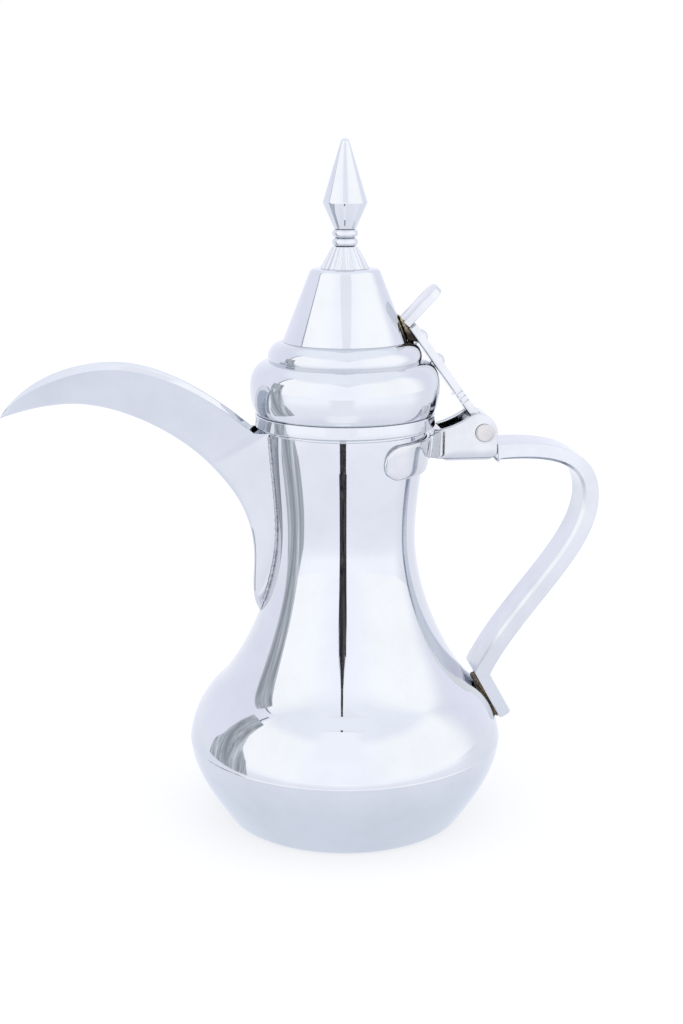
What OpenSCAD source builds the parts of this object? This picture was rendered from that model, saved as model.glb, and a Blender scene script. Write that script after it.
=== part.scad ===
// Dallah coffee pot: spun stainless steel body, crescent spout, hinged lid with a thumb lever.
// Origin: centre of the base on the surface it stands on. +Z up, +X towards the handle, -X the spout.

/* [Body] */
// Radius of the flat bottom that the pot stands on
base_r = 49.5; // [45:0.5:52]
// Radius of the belly at its widest
belly_r = 69.8; // [66:0.1:72]
// Height of the belly's widest circle, where bowl and body are joined
belly_z = 37.4; // [34:0.1:42]
// Radius of the waist, the narrowest part of the neck
waist_r = 31; // [30:0.1:32.5]
// Height of the waist
waist_z = 130; // [125:1:135]
// Outer radius of the neck at the mouth
mouth_r = 35.5; // [35:0.1:36]
// Height of the mouth
mouth_z = 177.3; // [175:0.1:178]
// Thickness of the sheet steel
wall = 1; // [0.8:0.1:1.2]
// Radius of the rolled bead round the mouth
bead_r = 0.8; // [0.6:0.1:1]

/* [Spout] */
// Half of the spout's width at its rim
spout_half_w = 12; // [10:0.5:13]
// Distance of the spout's tip from the pot's axis
spout_reach = 147.5; // [140:0.5:150]
// Height of the spout's tip
spout_tip_z = 184.2; // [180:0.2:188]
// Height of the highest point of the spout's rim
spout_top_z = 206; // [200:1:210]

/* [Lid] */
// Outer radius of the flat band round the lid
band_r = 39.2; // [38.5:0.1:40]
// Height of the band
band_h = 5.3; // [4:0.1:6]
// Outer radius of the skirt that drops into the mouth
skirt_r = 33.4; // [33:0.1:33.6]
// How far the skirt reaches below the band
skirt_h = 6.3; // [4:0.1:8]
// Radius of the lid's large bulge
bulge_r = 41.2; // [40.5:0.1:41.6]
// Radius of the foot of the lid's cone
cone_r = 26.9; // [26:0.1:27.5]
// Radius of the top of the lid's cone
cone_top_r = 15.3; // [14:0.1:16]
// Height of the flat top of the cone
cone_top_z = 246; // [244:0.5:248]

/* [Finial] */
// Height of the finial's tip
finial_z = 300; // [296:1:304]
// Radius of the finial at its widest
finial_r = 9.6; // [8:0.1:11]
// Radius of the two beads under the spire
finial_bead_r = 5.6; // [5:0.1:6]
// Foot radius of the fluted collar
collar_r = 10.6; // [10:0.1:12]
// Number of flutes round the collar
flutes = 20; // [12:1:28]

/* [Hinge] */
// Distance of the hinge pin from the pot's axis
pin_x = 59.9; // [59:0.1:61]
// Height of the hinge pin
pin_z = 175; // [174:0.5:176]
// Radius of the hinge pin
pin_r = 2.45; // [2:0.05:2.6]
// Radius of the pin's heads
pin_head_r = 4; // [3.5:0.1:4.5]
// Width of the hinge bracket across its cheeks
bracket_w = 20; // [19:0.5:22]
// Thickness of each cheek
cheek = 2.6; // [2:0.1:3]

/* [Lever] */
// Lean of the lid lever from the vertical, in degrees
lever_lean = 35.4; // [35.2:0.1:35.6]
// Width of the lever
lever_w = 14; // [12:0.5:14.4]
// Thickness of the lever's strap
strap_t = 3.7; // [3:0.1:4]
// Length of the strap from the pin
strap_len = 56.5; // [55:0.5:57]
// Length of the thumb tab
tab_len = 21.5; // [16:0.5:22]
// Width of the thumb tab
tab_w = 16; // [12:0.5:18]
// Thickness of the thumb tab
tab_t = 3.6; // [2.5:0.1:4]

/* [Handle] */
// Width of the handle
handle_w = 21; // [18:0.5:22]
// Thickness of the handle
handle_t = 7; // [6:0.1:7.2]

/* [Hidden] */
$fn = 96;
eps = 0.05;        // gap that keeps two fitted pieces from sharing volume
lid_gap = 0.3;     // gap between the closed lid and the bead it rests on

// ---- Curves ---------------------------------------------------------------------------
// A point on a cubic Bezier curve, and such a curve as n straight steps.
function bez(p, t) = pow(1 - t, 3) * p[0] + 3 * t * pow(1 - t, 2) * p[1]
                   + 3 * t * t * (1 - t) * p[2] + t * t * t * p[3];
function curve(p, n) = [for (i = [0 : n]) bez(p, i / n)];
function tail(list) = [for (i = [1 : len(list) - 1]) list[i]];
function backwards(list) = [for (i = [len(list) - 1 : -1 : 0]) list[i]];
function unit(v) = v / norm(v);
function left_of(v) = [-v[1], v[0]];
// The line that runs d to the left of a path, mitred at the corners.
function step_dir(p, i) = unit(p[i + 1] - p[i]);
function side_line(p, d) = [for (i = [0 : len(p) - 1])
    let (a = left_of(step_dir(p, max(i - 1, 0))),
         b = left_of(step_dir(p, min(i, len(p) - 2))),
         m = unit(a + b))
    p[i] + m * d / max(m * a, 0.5)];

// ---- Outlines of the turned parts, as [radius, height] ----------------------------------
bowl_edge = [[base_r, 0], [base_r + 2, 0], [base_r + 3.3, 1], [base_r + 4.3, 2.4]];
bowl_side = [[base_r + 4.3, 2.4], [base_r + 11, 12.5], [belly_r - 0.45, belly_z - 12.9], [belly_r, belly_z]];
shoulder_r = 57;
shoulder_z = 62;
shoulder = [[belly_r, belly_z], [belly_r - 1.2, belly_z + 8.5], [65, 54.5], [shoulder_r, shoulder_z]];
flare = [[shoulder_r, shoulder_z], [49, 69.5], [waist_r, waist_z - 30], [waist_r, waist_z]];
neck = [[waist_r, waist_z], [waist_r, waist_z + 16], [mouth_r - 0.9, mouth_z - 16], [mouth_r, mouth_z]];
bowl_path = concat(curve(bowl_edge, 5), tail(curve(bowl_side, 14)));
body_path = concat(curve(shoulder, 12), tail(curve(flare, 18)), tail(curve(neck, 12)));
body_table = [for (p = body_path) [p[1], p[0]]];
function body_r(z) = lookup(z, body_table);

band_z = mouth_z + 1 + lid_gap;
band_top = band_z + band_h;
// The dome starts inside the band, swells to the large bulge, and steps in over the small one.
dome_foot_r = band_r - wall - eps;
crease_r = 33;
crease_z = 206.8;
dome_low = [[dome_foot_r + 0.2, band_top + 0.1], [band_r + 0.7, 185.5], [bulge_r, 190], [bulge_r, 195.5]];
dome_high = [[bulge_r, 195.5], [bulge_r, 201.5], [38.5, 205.8], [crease_r, crease_z]];
cone_foot_z = 215;
small_bulge = [[crease_r, crease_z], [34.2, 209.5], [32.2, 214.2], [cone_r, cone_foot_z]];
dome_path = concat([[dome_foot_r, band_z + wall + eps], [dome_foot_r, band_top]],
                   curve(dome_low, 8), tail(curve(dome_high, 10)), tail(curve(small_bulge, 9)));
cone_shoulder = [[cone_top_r, cone_top_z - 1.7], [cone_top_r - 0.4, cone_top_z - 0.4],
                 [cone_top_r - 1.4, cone_top_z], [cone_top_r - 2.8, cone_top_z]];
cone_path = concat([[cone_r, cone_foot_z + eps]], curve(cone_shoulder, 6));
function cone_r_at(z) = cone_r + (cone_top_r - cone_r) * (z - cone_foot_z) / (cone_top_z - 1.7 - cone_foot_z);

// A closed shell of sheet steel: the outer path and the line that runs wall to its left.
// Nothing of it lies below low, so that a lower edge is cut square.
module spun_shell(path, low) {
    inner = [for (p = side_line(path, wall)) [p[0], max(p[1], low)]];
    rotate_extrude() polygon(concat(path, backwards(inner)));
}

// ---- Body -------------------------------------------------------------------------------
// The bead stops where the spout joins the neck.
module mouth_bead() {
    difference() {
        translate([0, 0, mouth_z + 0.2]) rotate_extrude()
            translate([mouth_r + 0.3, 0]) circle(bead_r, $fn = 32);
        translate([-50, -seam_half_w - 0.2, mouth_z - 5]) cube([30, 2 * seam_half_w + 0.4, 10]);
    }
}

// The opening in the neck through which coffee reaches the spout: a tall V with a flat top.
pour_low_z = 104;
pour_high_z = 168;
pour_half_w = 6.5;
module pour_opening() {
    translate([-20, 0, 0]) rotate([90, 0, -90])
        linear_extrude(40) polygon([[-0.8, pour_low_z], [0.8, pour_low_z],
                                    [pour_half_w, pour_high_z], [-pour_half_w, pour_high_z]]);
}

module body_shell() {
    color("silver") difference() {
        union() {
            spun_shell(body_path, belly_z);
            mouth_bead();
        }
        pour_opening();
        translate([0, 0, mouth_z - 3]) cylinder(r = mouth_r - wall, h = 6);
    }
}

module base_bowl() {
    top = belly_z - eps;
    inner = [for (p = side_line(bowl_path, wall)) if (p[1] > wall) [p[0], min(p[1], top)]];
    outer = [for (p = bowl_path) [p[0], min(p[1], top)]];
    color("silver") rotate_extrude()
        polygon(concat([[0, 0]], outer, backwards(inner), [[0, wall]]));
}

// ---- Spout ------------------------------------------------------------------------------
// Each half is one pressed sheet between two edges. The keel runs along the bottom from the tip to the
// neck. The top edge is the rim, from the tip to the mouth, and then the seam down the neck.
// Both are [x, z], with the same number of points, and a section joins each pair.
tip = [-spout_reach, spout_tip_z];
rim_top = [-100.5, spout_top_z];
rim_end = [-40.3, mouth_z - 0.2];
rim_path = concat(curve([tip + [0.2, 0.9], [-139, 197.5], [-119, spout_top_z], rim_top], 8),
                  tail(curve([rim_top, [-78, spout_top_z], [-56, 190.5], rim_end], 10)));
keel_top = [-117.5, 189.8];
keel_turn = [-59.4, 162.5];
keel_bend = [-40.4, 122];
keel_end = [-38.9, 97.2];
keel_path = concat(curve([tip, [-138, 187.3], [-128, 189.8], keel_top], 6),
                   tail(curve([keel_top, [-97, 189.8], [-72, 176], keel_turn], 12)),
                   tail(curve([keel_turn, [-50, 152.4], [-40.9, 141], keel_bend], 8)),
                   tail(curve([keel_bend, [-40.1, 114], [-42.2, 103], keel_end], 6)));
// The seam on the neck as [half width, height].
seam_half_w = 10.4;
seam_low_z = 95.6;
rim_last = len(rim_path) - 1;
spout_last = len(keel_path) - 1;
seam_path = curve([[seam_half_w, mouth_z - 0.5], [9.2, 152], [4.2, 132], [1, seam_low_z]],
                  spout_last - rim_last - 1);
flank_steps = 7;
keel_round = 2;    // half width of the rounded keel
tip_run = 32;      // the rim closes in over this length at the tip
neck_run = 18;     // and narrows a little over this length at the neck

// Half width of the rim above a point x: full along the spout, closing to the blunt tip.
function rim_half_w(x) = let (to_tip = max(0, (-x - (spout_reach - tip_run)) / tip_run),
                              to_neck = max(0, 1 + (x - rim_end[0]) / neck_run))
    max(1, spout_half_w * (1 - pow(to_tip, 3)) - (spout_half_w - seam_half_w) * to_neck);
function half_w(i) = i <= rim_last ? rim_half_w(rim_path[i][0]) : seam_path[i - rim_last - 1][0];
// The top end of section i, at distance y from the middle plane. On the seam it lies on the neck.
function neck_x(z, y) = -sqrt(pow(body_r(z) + eps, 2) - y * y);
function top_end(i, y) = i <= rim_last ? rim_path[i]
    : let (z = seam_path[i - rim_last - 1][1]) [neck_x(z, y), z];
// Distance from the middle plane: a rounded keel that runs into a flat flank.
function flank_y(w, u, run) = let (r = min(keel_round, w), near = 1 - min(1, u * run / r))
    r * sqrt(1 - near * near) + (w - r) * u;
function section(i) = let (
        w = half_w(i),
        t = min(wall, w / 2),
        run = norm(top_end(i, w) - keel_path[i]),
        lift = min(0.45, 1.2 * wall / run),
        outer = [for (j = [0 : flank_steps]) let (u = pow(j / flank_steps, 1.6), y = flank_y(w, u, run),
                 p = keel_path[i] + (top_end(i, w) - keel_path[i]) * u) [p[0], y, p[1]]],
        inner = [for (j = [flank_steps : -1 : 0]) let (v = pow(j / flank_steps, 1.6),
                 u = lift + (1 - lift) * v,
                 y = flank_y(w - t, v, run), p = keel_path[i] + (top_end(i, w - t) - keel_path[i]) * u)
                 [p[0], y, p[1]]])
    concat(outer, inner);

// One pressed half of the spout, on the +Y side, as a closed sheet.
module spout_half() {
    rings = [for (i = [0 : spout_last]) section(i)];
    n = len(rings[0]);
    points = [for (r = rings) each r];
    sides = [for (i = [0 : spout_last - 1], k = [0 : n - 1]) let (a = i * n + k, b = i * n + (k + 1) % n)
        each [[a, a + n, b], [b, a + n, b + n]]];
    caps = [for (j = [0 : flank_steps - 1]) let (o = j, q = n - 1 - j, e = spout_last * n)
        each [[o, o + 1, q], [o + 1, q - 1, q], [e + o, e + q, e + o + 1], [e + o + 1, e + q, e + q - 1]]];
    polyhedron(points, concat(sides, caps), convexity = 6);
}

module spout_left_half() {
    color("silver") spout_half();
}

module spout_right_half() {
    color("silver") mirror([0, 1, 0]) spout_half();
}

// A bead of weld down each side of the seam between spout and neck.
weld_r = 0.6;
weld_sides = 8;
module weld_bead() {
    away = weld_r + 3 * eps;
    seam = [for (i = [1 : len(seam_path) - 2]) seam_path[i] + [away, 0]];
    rings = [for (p = seam) let (x = -sqrt(pow(body_r(p[1]) + away, 2) - p[0] * p[0]))
        [for (k = [0 : weld_sides - 1]) let (a = -360 * k / weld_sides)
            [x, p[0], p[1]] + weld_r * [cos(a), sin(a), 0]]];
    n = weld_sides;
    last = len(rings) - 1;
    polyhedron([for (r = rings) each r],
        concat([[for (k = [n - 1 : -1 : 0]) k], [for (k = [0 : n - 1]) last * n + k]],
               [for (i = [0 : last - 1], k = [0 : n - 1]) let (a = i * n + k, b = i * n + (k + 1) % n)
                   each [[a, b, a + n], [b, b + n, a + n]]]));
}

module spout_weld() {
    color("gainsboro") {
        weld_bead();
        mirror([0, 1, 0]) weld_bead();
    }
}

// ---- Hinge ------------------------------------------------------------------------------
saddle_low = 159;
saddle_high = 174.3;
saddle_t = 2.2;
saddle_wrap = 58;  // degrees each way to the centre of the rounded ends
saddle_mid = (saddle_low + saddle_high) / 2;
bracket_end = 65.9;
bracket_floor = 162.2;
floor_t = 3.3;

module along_y(width) {
    rotate([90, 0, 0]) translate([0, 0, -width / 2]) linear_extrude(width) children();
}

// The curved plate that hugs the neck, with a rounded end each side.
module saddle() {
    zs = [for (i = [0 : 6]) saddle_low + (saddle_high - saddle_low) * i / 6];
    end_r = (saddle_high - saddle_low) / 2 + 0.5;
    reach = 60;
    intersection() {
        rotate_extrude() polygon(concat([for (z = zs) [body_r(z) + eps, z]],
                                        backwards([for (z = zs) [body_r(z) + saddle_t, z]])));
        union() {
            translate([0, 0, saddle_low - 5]) linear_extrude(saddle_high - saddle_low + 10)
                polygon([[0, 0], reach * [cos(saddle_wrap), -sin(saddle_wrap)], [reach, -40], [reach, 40],
                         reach * [cos(saddle_wrap), sin(saddle_wrap)]]);
            for (side = [-1, 1])
                rotate([0, 0, side * saddle_wrap]) translate([0, 0, saddle_mid]) rotate([0, 90, 0])
                    cylinder(r = end_r, h = reach);
        }
    }
}

// Side view of the bracket: floor, head over the pin, and a neck that sweeps down to the mouth.
head_r = 8.3;
head_c = [bracket_end - head_r, pin_z + 0.1];
module bracket_side() {
    sweep = [head_c + head_r * [cos(125), sin(125)], [49.5, 179.6], [44.5, 177.4], [38.2, 176.4]];
    underside = [[36, 163.8], [42, 163.8], [43, bracket_floor], [64.4, bracket_floor], [bracket_end, 163.8]];
    polygon(concat(underside,
                   [for (a = [0 : 5 : 120]) head_c + head_r * [cos(a), sin(a)]],
                   curve(sweep, 8), [[38.2, saddle_high - 0.3], [36, saddle_high - 0.3]]));
}

module on_pin() {
    translate([pin_x, 0, pin_z]) rotate([90, 0, 0]) children();
}

module hinge_bracket() {
    gap = bracket_w - 2 * cheek;
    web_w = 13;
    color("silver") difference() {
        union() {
            saddle();
            intersection() {
                along_y(bracket_w + 2) bracket_side();
                linear_extrude(200) polygon([[30, -web_w / 2], [38.5, -web_w / 2], [41.5, -bracket_w / 2],
                                             [70, -bracket_w / 2], [70, bracket_w / 2], [41.5, bracket_w / 2],
                                             [38.5, web_w / 2], [30, web_w / 2]]);
            }
        }
        translate([41.5, -gap / 2, bracket_floor + floor_t]) cube([22, gap, 40]);
        translate([60, -gap / 2, 169.5]) cube([10, gap, 40]);
        on_pin() cylinder(r = pin_r + 0.02, h = bracket_w + 2, center = true);
    }
}

module hinge_pin() {
    head_h = 0.9;
    color("gainsboro") on_pin() {
        cylinder(r = pin_r, h = bracket_w + 0.2, center = true);
        for (side = [0, 1]) mirror([0, 0, side]) translate([0, 0, bracket_w / 2 + eps]) {
            cylinder(r = pin_head_r, h = head_h / 2);
            translate([0, 0, head_h / 2]) cylinder(r1 = pin_head_r, r2 = pin_head_r - 0.7, h = head_h / 2);
        }
    }
}

// ---- Handle -----------------------------------------------------------------------------
handle_start = [bracket_end + 0.2, 166.5];
handle_out = [108.4, 145];
handle_mid = [87.6, 104];
handle_heel = [60.9, 64.6];
handle_path = concat(curve([handle_start, [88, 167.5], [108.4, 166], handle_out], 16),
                     tail(curve([handle_out, [108.4, 131], [98, 117.5], handle_mid], 10)),
                     tail(curve([handle_mid, [77.5, 91], [66.2, 77], handle_heel], 10)));
outer_line = side_line(handle_path, handle_t / 2);
inner_line = side_line(handle_path, -handle_t / 2);

// The foot is a flatter end that lies along the shoulder and only just clears it.
foot_t = 5.8;
foot_z = 51.5;
foot_touch = [body_r(foot_z) + 2 * eps, foot_z];
foot_dir = unit([body_r(foot_z - 0.5) - body_r(foot_z + 0.5), -1]);
foot_out = left_of(foot_dir) * foot_t;
foot_toe = foot_touch + foot_dir * 9.2;
// The point where the line through p along d meets the line through q along e.
function meet(p, d, q, e) = p + d * ((q - p) * left_of(e)) / (d * left_of(e));
function butlast(list) = [for (i = [0 : len(list) - 2]) list[i]];
heel = len(handle_path) - 1;
heel_dir = step_dir(handle_path, heel - 1);
heel_out = meet(outer_line[heel], heel_dir, foot_touch + foot_out, foot_dir);
heel_in = meet(inner_line[heel], heel_dir, foot_touch, foot_dir);
module handle_side() {
    polygon(concat(butlast(outer_line), [heel_out, foot_toe + foot_out, foot_toe, heel_in],
                   backwards(butlast(inner_line))));
}

module handle() {
    color("silver") along_y(handle_w) handle_side();
}

// A bead of weld under the end of the handle, against the bracket.
module handle_root_weld() {
    bead = 0.8;
    color("gainsboro") translate([handle_start[0] + bead, 0, handle_start[1] - handle_t / 2 - bead - eps])
        rotate([90, 0, 0]) cylinder(r = bead, h = handle_w - 2, center = true, $fn = 32);
}

// Filler in the wedge between the handle's foot and the shoulder of the body.
module handle_foot_weld() {
    weld_w = 17;
    weld_low = 53;
    gap = left_of(foot_dir) * -eps;
    low = meet(foot_touch, foot_dir, [0, weld_low], [1, 0]) + gap;
    high = heel_in + foot_dir + gap;
    color("peru") difference() {
        along_y(weld_w) polygon([high, low, [40, weld_low], [40, high[1] - 2]]);
        rotate_extrude($fn = 360)
            polygon(concat([[0, belly_z]], side_line(body_path, -eps), [[0, mouth_z]]));
    }
}

// ---- Lid --------------------------------------------------------------------------------
module lid_rim() {
    color("silver") rotate_extrude() polygon([
        [skirt_r, band_z - skirt_h], [skirt_r, band_z], [band_r - 0.3, band_z], [band_r, band_z + 0.3],
        [band_r, band_top - 0.3], [band_r - 0.3, band_top], [band_r - wall, band_top],
        [band_r - wall, band_z + wall], [skirt_r - wall, band_z + wall], [skirt_r - wall, band_z - skirt_h]]);
}

module lid_dome() {
    color("silver") difference() {
        spun_shell(dome_path, band_z);
        rivet_places() translate([0, 0, -8]) cylinder(r = rivet_r + eps, h = 12, $fn = 32);
    }
}

module lid_cone() {
    inner = side_line(cone_path, wall);
    top = len(inner) - 1;
    color("silver") difference() {
        rotate_extrude()
            polygon(concat(cone_path, [[0, cone_top_z]], [[0, inner[top][1]]], backwards(inner)));
        translate([0, 0, cone_top_z - 5]) cylinder(r = stud_r + eps, h = 10, $fn = 48);
    }
}

// ---- Finial -----------------------------------------------------------------------------
collar_z = cone_top_z + eps;
collar_h = 9.1;
collar_top_r = finial_bead_r - 0.1;
bead_half = 1.83;
beads_z = collar_z + collar_h + eps;
spire_z = beads_z + 4 * bead_half + eps;
stud_r = 2;

module finial_collar() {
    lean = atan((collar_r - collar_top_r) / collar_h);
    flute_r = 0.8;
    color("silver") difference() {
        translate([0, 0, collar_z]) cylinder(r1 = collar_r, r2 = collar_top_r, h = collar_h);
        for (i = [0 : flutes - 1]) rotate([0, 0, 360 * i / flutes])
            translate([collar_r + 0.35, 0, collar_z]) rotate([0, -lean, 0])
                translate([0, 0, -2]) cylinder(r = flute_r, h = collar_h + 4, $fn = 24);
        translate([0, 0, collar_z - 1]) cylinder(r = stud_r + eps, h = collar_h + 2, $fn = 48);
    }
}

module finial_beads() {
    color("silver") rotate_extrude() difference() {
        union() {
            for (i = [0, 1]) translate([finial_bead_r - bead_half, beads_z + bead_half * (1 + 2 * i)])
                circle(bead_half, $fn = 48);
            translate([stud_r + eps, beads_z])
                square([finial_bead_r - bead_half - stud_r - eps, 4 * bead_half]);
        }
        translate([-5, beads_z - 1]) square([5 + stud_r + eps, 20]);
    }
}

// The spire: a short cone that opens upwards and a long one that closes to a rounded tip.
module finial_spire() {
    waist = 4.6;
    wide_z = spire_z + 10.9;
    tip_r = 2;
    tip_curve = [[tip_r + 0.2, finial_z - 2.4], [tip_r - 0.2, finial_z - 0.7],
                 [tip_r - 0.9, finial_z], [0.01, finial_z]];
    blind = stud_r + eps;
    hole_top = spire_z + 8;
    color("silver") rotate_extrude() polygon(concat(
        [[blind, spire_z], [waist, spire_z], [finial_r - 0.15, wide_z - 0.3], [finial_r, wide_z],
         [finial_r - 0.1, wide_z + 0.3]],
        curve(tip_curve, 6), [[0, finial_z], [0, hole_top], [blind, hole_top]]));
}

stud_top = spire_z + 7.5;
nut_h = 3.2;
washer_h = 0.8;
under_cone = cone_top_z - wall - eps;
module finial_stud() {
    low = under_cone - washer_h - nut_h - 2.5;
    color("gray") translate([0, 0, low]) cylinder(r = stud_r, h = stud_top - low, $fn = 48);
}

module finial_washer() {
    color("gray") translate([0, 0, under_cone - washer_h]) difference() {
        cylinder(r = 4.5, h = washer_h);
        translate([0, 0, -1]) cylinder(r = stud_r + eps, h = 3, $fn = 48);
    }
}

module finial_nut() {
    color("gray") translate([0, 0, under_cone - washer_h - eps - nut_h]) difference() {
        cylinder(r = 7 / sqrt(3), h = nut_h, $fn = 6);
        translate([0, 0, -1]) cylinder(r = stud_r + eps, h = nut_h + 2, $fn = 48);
    }
}

// ---- Lever ------------------------------------------------------------------------------
// In the lever's own frame the pin is at the origin, +Z runs up the strap and +X points away from the lid.
strap_in = 0.5;  // how far the strap's inner face lies on the lid's side of the pin
eye_r = 5.2;
module lever_frame() {
    translate([pin_x, 0, pin_z]) rotate([0, -lever_lean, 0]) children();
}

rivet_r = 1.5;
rivet_at = [49.1, 36.3];  // places along the strap
module rivet_places() {
    lever_frame() for (v = rivet_at) translate([strap_t - strap_in, 0, v]) rotate([0, 90, 0]) children();
}

module lid_lever() {
    groove = 0.35;
    color("silver") difference() {
        union() {
            lever_frame() {
                translate([-strap_in, -lever_w / 2, 0]) cube([strap_t, lever_w, strap_len]);
                rotate([90, 0, 0]) cylinder(r = eye_r, h = lever_w, center = true);
            }
        }
        on_pin() cylinder(r = pin_r + eps, h = lever_w + 2, center = true);
        rivet_places() translate([0, 0, -8]) cylinder(r = rivet_r + 0.02, h = 12, $fn = 32);
        lever_frame() for (v = [15, 18.5, 20.5])
            translate([strap_t - strap_in - groove, -lever_w, v]) cube([2, 2 * lever_w, 0.5]);
    }
}

module lever_rivets() {
    head_r = 3.2;
    head_h = 1.9;
    ball = (head_r * head_r + head_h * head_h) / (2 * head_h);
    color("gainsboro") rivet_places() {
        translate([0, 0, -strap_t - 3.2]) cylinder(r = rivet_r, h = strap_t + 3.3, $fn = 32);
        intersection() {
            translate([0, 0, head_h - ball + 2 * eps]) sphere(ball);
            translate([0, 0, eps]) cylinder(r = head_r, h = head_h + 1);
        }
    }
}

tab_tilt = 11;
module thumb_tab() {
    corner = 5.5;
    color("silver") lever_frame() translate([-strap_in, 0, strap_len + 0.1]) rotate([0, -tab_tilt, 0])
        linear_extrude(tab_t) {
            translate([0.2, -tab_w / 2]) square([tab_len - corner, tab_w]);
            translate([tab_len - corner - 0.1, corner - tab_w / 2])
                square([corner + 0.1, tab_w - 2 * corner]);
            for (side = [-1, 1])
                translate([tab_len - corner, side * (tab_w / 2 - corner)]) circle(corner, $fn = 48);
        }
}

// Brazing metal between the cone of the lid and the top of the lever, up to the root of the thumb tab.
module lever_braze() {
    low = 219.6;
    gap = 3 * eps;
    up_strap = [-sin(lever_lean), cos(lever_lean)];
    off_strap = [cos(lever_lean), sin(lever_lean)];
    tab_way = [cos(lever_lean + tab_tilt), sin(lever_lean + tab_tilt)];
    root = [pin_x, pin_z] + up_strap * (strap_len + 0.1) - off_strap * strap_in + tab_way * (0.2 - gap);
    above = root + left_of(tab_way) * tab_t;
    strap_top = [pin_x, pin_z] + up_strap * (strap_len - 0.3) - off_strap * (strap_in + gap);
    strap_low = meet(strap_top, up_strap, [0, low], [1, 0]);
    color("khaki") along_y(9)
        polygon([[cone_r_at(low) + gap, low], strap_low, strap_top, root, above,
                 [cone_r_at(above[1]) + gap, above[1]]]);
}

body_shell();
base_bowl();
spout_left_half();
spout_right_half();
spout_weld();
hinge_bracket();
hinge_pin();
handle();
handle_root_weld();
handle_foot_weld();
lid_rim();
lid_dome();
lid_cone();
finial_collar();
finial_beads();
finial_spire();
finial_stud();
finial_washer();
finial_nut();
lid_lever();
thumb_tab();
lever_rivets();
lever_braze();
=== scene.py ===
"""Looks of the dallah coffee pot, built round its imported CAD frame.

Lengths are millimetres until a mesh is made.
"""
from math import asin, cos, degrees, pi, radians, sin, sqrt, tan

import bmesh
import bpy
import numpy as np
from mathutils import Matrix, Vector, noise

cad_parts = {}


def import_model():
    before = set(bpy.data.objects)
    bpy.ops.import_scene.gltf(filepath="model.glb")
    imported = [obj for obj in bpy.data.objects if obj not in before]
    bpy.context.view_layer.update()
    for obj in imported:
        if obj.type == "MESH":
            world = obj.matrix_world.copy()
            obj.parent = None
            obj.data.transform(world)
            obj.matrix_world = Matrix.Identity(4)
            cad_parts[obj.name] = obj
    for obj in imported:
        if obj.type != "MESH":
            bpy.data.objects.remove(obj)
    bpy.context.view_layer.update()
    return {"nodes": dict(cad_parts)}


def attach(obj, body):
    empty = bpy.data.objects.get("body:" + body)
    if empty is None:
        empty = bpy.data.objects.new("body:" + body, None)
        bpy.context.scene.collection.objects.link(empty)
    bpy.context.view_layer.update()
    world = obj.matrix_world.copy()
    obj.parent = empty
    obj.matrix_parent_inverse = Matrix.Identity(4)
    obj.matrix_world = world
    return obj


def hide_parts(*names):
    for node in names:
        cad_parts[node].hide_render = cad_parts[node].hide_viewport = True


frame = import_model()

MM = 0.001
SHARP = radians(38)

# ---- Curves -------------------------------------------------------------------------------


def bez(points, steps):
    """steps + 1 points along a cubic Bezier curve."""
    t = np.linspace(0, 1, steps + 1)[:, None]
    a, b, c, d = (np.array(p, float) for p in points)
    return (1 - t) ** 3 * a + 3 * t * (1 - t) ** 2 * b + 3 * t * t * (1 - t) * c + t ** 3 * d


def chain(*parts):
    """Curves joined end to end, where each starts at the point where the last one ended."""
    return np.vstack([parts[0]] + [p[1:] for p in parts[1:]])


def arc(centre, radius, start, end, steps):
    """Points on a circle, from angle start to angle end in degrees."""
    a = np.radians(np.linspace(start, end, steps + 1))
    return np.array(centre) + radius * np.column_stack([np.cos(a), np.sin(a)])


def left_normals(path, closed=False):
    """The mitred normal to the left of a path at each point, scaled so that an offset keeps its distance."""
    path = np.array(path, float)
    step = np.diff(np.vstack([path, path[:1]]) if closed else path, axis=0)
    step /= np.linalg.norm(step, axis=1)[:, None]
    if closed:
        before, after = np.roll(step, 1, axis=0), step
    else:
        before, after = np.vstack([step[:1], step]), np.vstack([step, step[-1:]])
    normal_before = np.column_stack([-before[:, 1], before[:, 0]])
    normal_after = np.column_stack([-after[:, 1], after[:, 0]])
    mid = normal_before + normal_after
    mid /= np.linalg.norm(mid, axis=1)[:, None]
    return mid / np.maximum((mid * normal_before).sum(axis=1), 0.5)[:, None]


def beside(path, distance):
    """The line that runs distance to the left of an open path."""
    return np.array(path, float) + distance * left_normals(path)


def fillet(points, radius, steps=5, closed=True):
    """A path whose corners are rounded. radius is one number, or one for each point."""
    points = np.array(points, float)
    n = len(points)
    radii = [radius] * n if np.isscalar(radius) else radius
    out = []
    for i, p in enumerate(points):
        ends = not closed and i in (0, n - 1)
        a, b = points[i - 1] - p, points[(i + 1) % n] - p
        la, lb = np.linalg.norm(a), np.linalg.norm(b)
        if ends or radii[i] <= 0 or min(la, lb) < 1e-9:
            out.append(p)
            continue
        half = np.arccos(np.clip(a @ b / la / lb, -1, 1)) / 2
        if half > radians(86):
            out.append(p)
            continue
        back = min(radii[i] / tan(half), 0.48 * la, 0.48 * lb)
        start, end = p + a / la * back, p + b / lb * back
        t = np.linspace(0, 1, steps + 1)[:, None]
        middle_weight = sin(half)
        w = (1 - t) ** 2 + 2 * t * (1 - t) * middle_weight + t ** 2
        out.extend(((1 - t) ** 2 * start + 2 * t * (1 - t) * middle_weight * p + t ** 2 * end) / w)
    return np.array(out)


def meet(p, d, q, e):
    """Where the line through p along d crosses the line through q along e."""
    p, d, q, e = (np.array(v, float) for v in (p, d, q, e))
    across = np.array([-e[1], e[0]])
    return p + d * ((q - p) @ across) / (d @ across)


# ---- Meshes -------------------------------------------------------------------------------


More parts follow.
